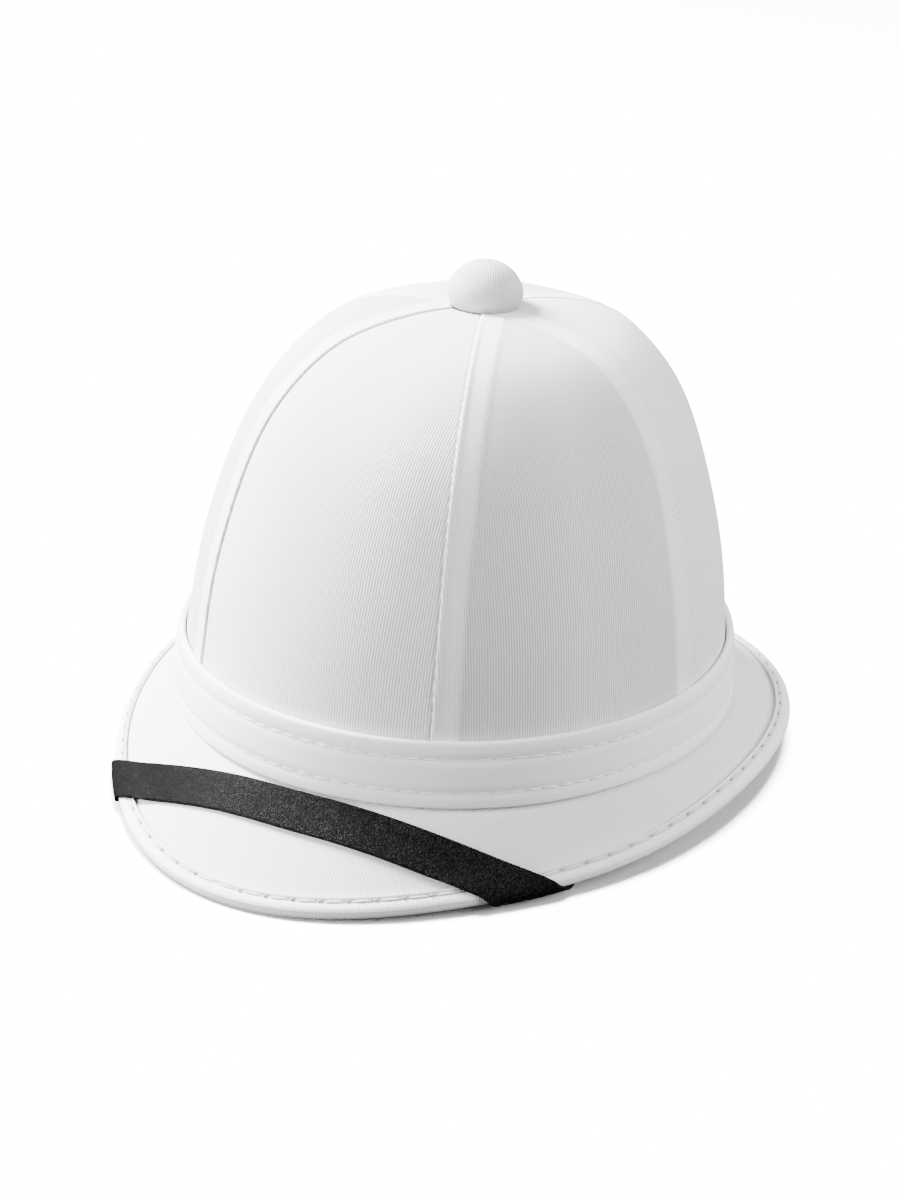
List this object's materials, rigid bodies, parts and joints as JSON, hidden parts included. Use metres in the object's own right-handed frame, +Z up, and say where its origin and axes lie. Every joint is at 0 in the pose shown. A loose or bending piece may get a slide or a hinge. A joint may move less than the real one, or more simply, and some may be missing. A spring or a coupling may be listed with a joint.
{
  "type": "pith helmet",
  "caption": "White fabric pith helmet with a panelled dome crown, a covered top button, a stitched hat band, a sloping bound brim and a black chin strap laid over the brim.",
  "frame": {"origin": "on the surface that the helmet rests on, under the middle of its bounding box", "axes": "+Z up, -Y towards the front of the brim, +X towards the wearer's left"},
  "size_m": [0.222, 0.2684, 0.1685],
  "materials": {
    "white_fabric": "matt white twill with a fine rib",
    "black_leatherette": "black grained leatherette with a soft sheen"
  },
  "bodies": {
    "root": {"crown_panel_1": "white_fabric", "crown_panel_2": "white_fabric", "crown_panel_3": "white_fabric", "crown_panel_4": "white_fabric", "crown_panel_5": "white_fabric", "crown_panel_6": "white_fabric", "top_button": "white_fabric", "hat_band": "white_fabric", "brim": "white_fabric", "brim_binding": "white_fabric", "chin_strap": "black_leatherette"}
  },
  "joints": []
}
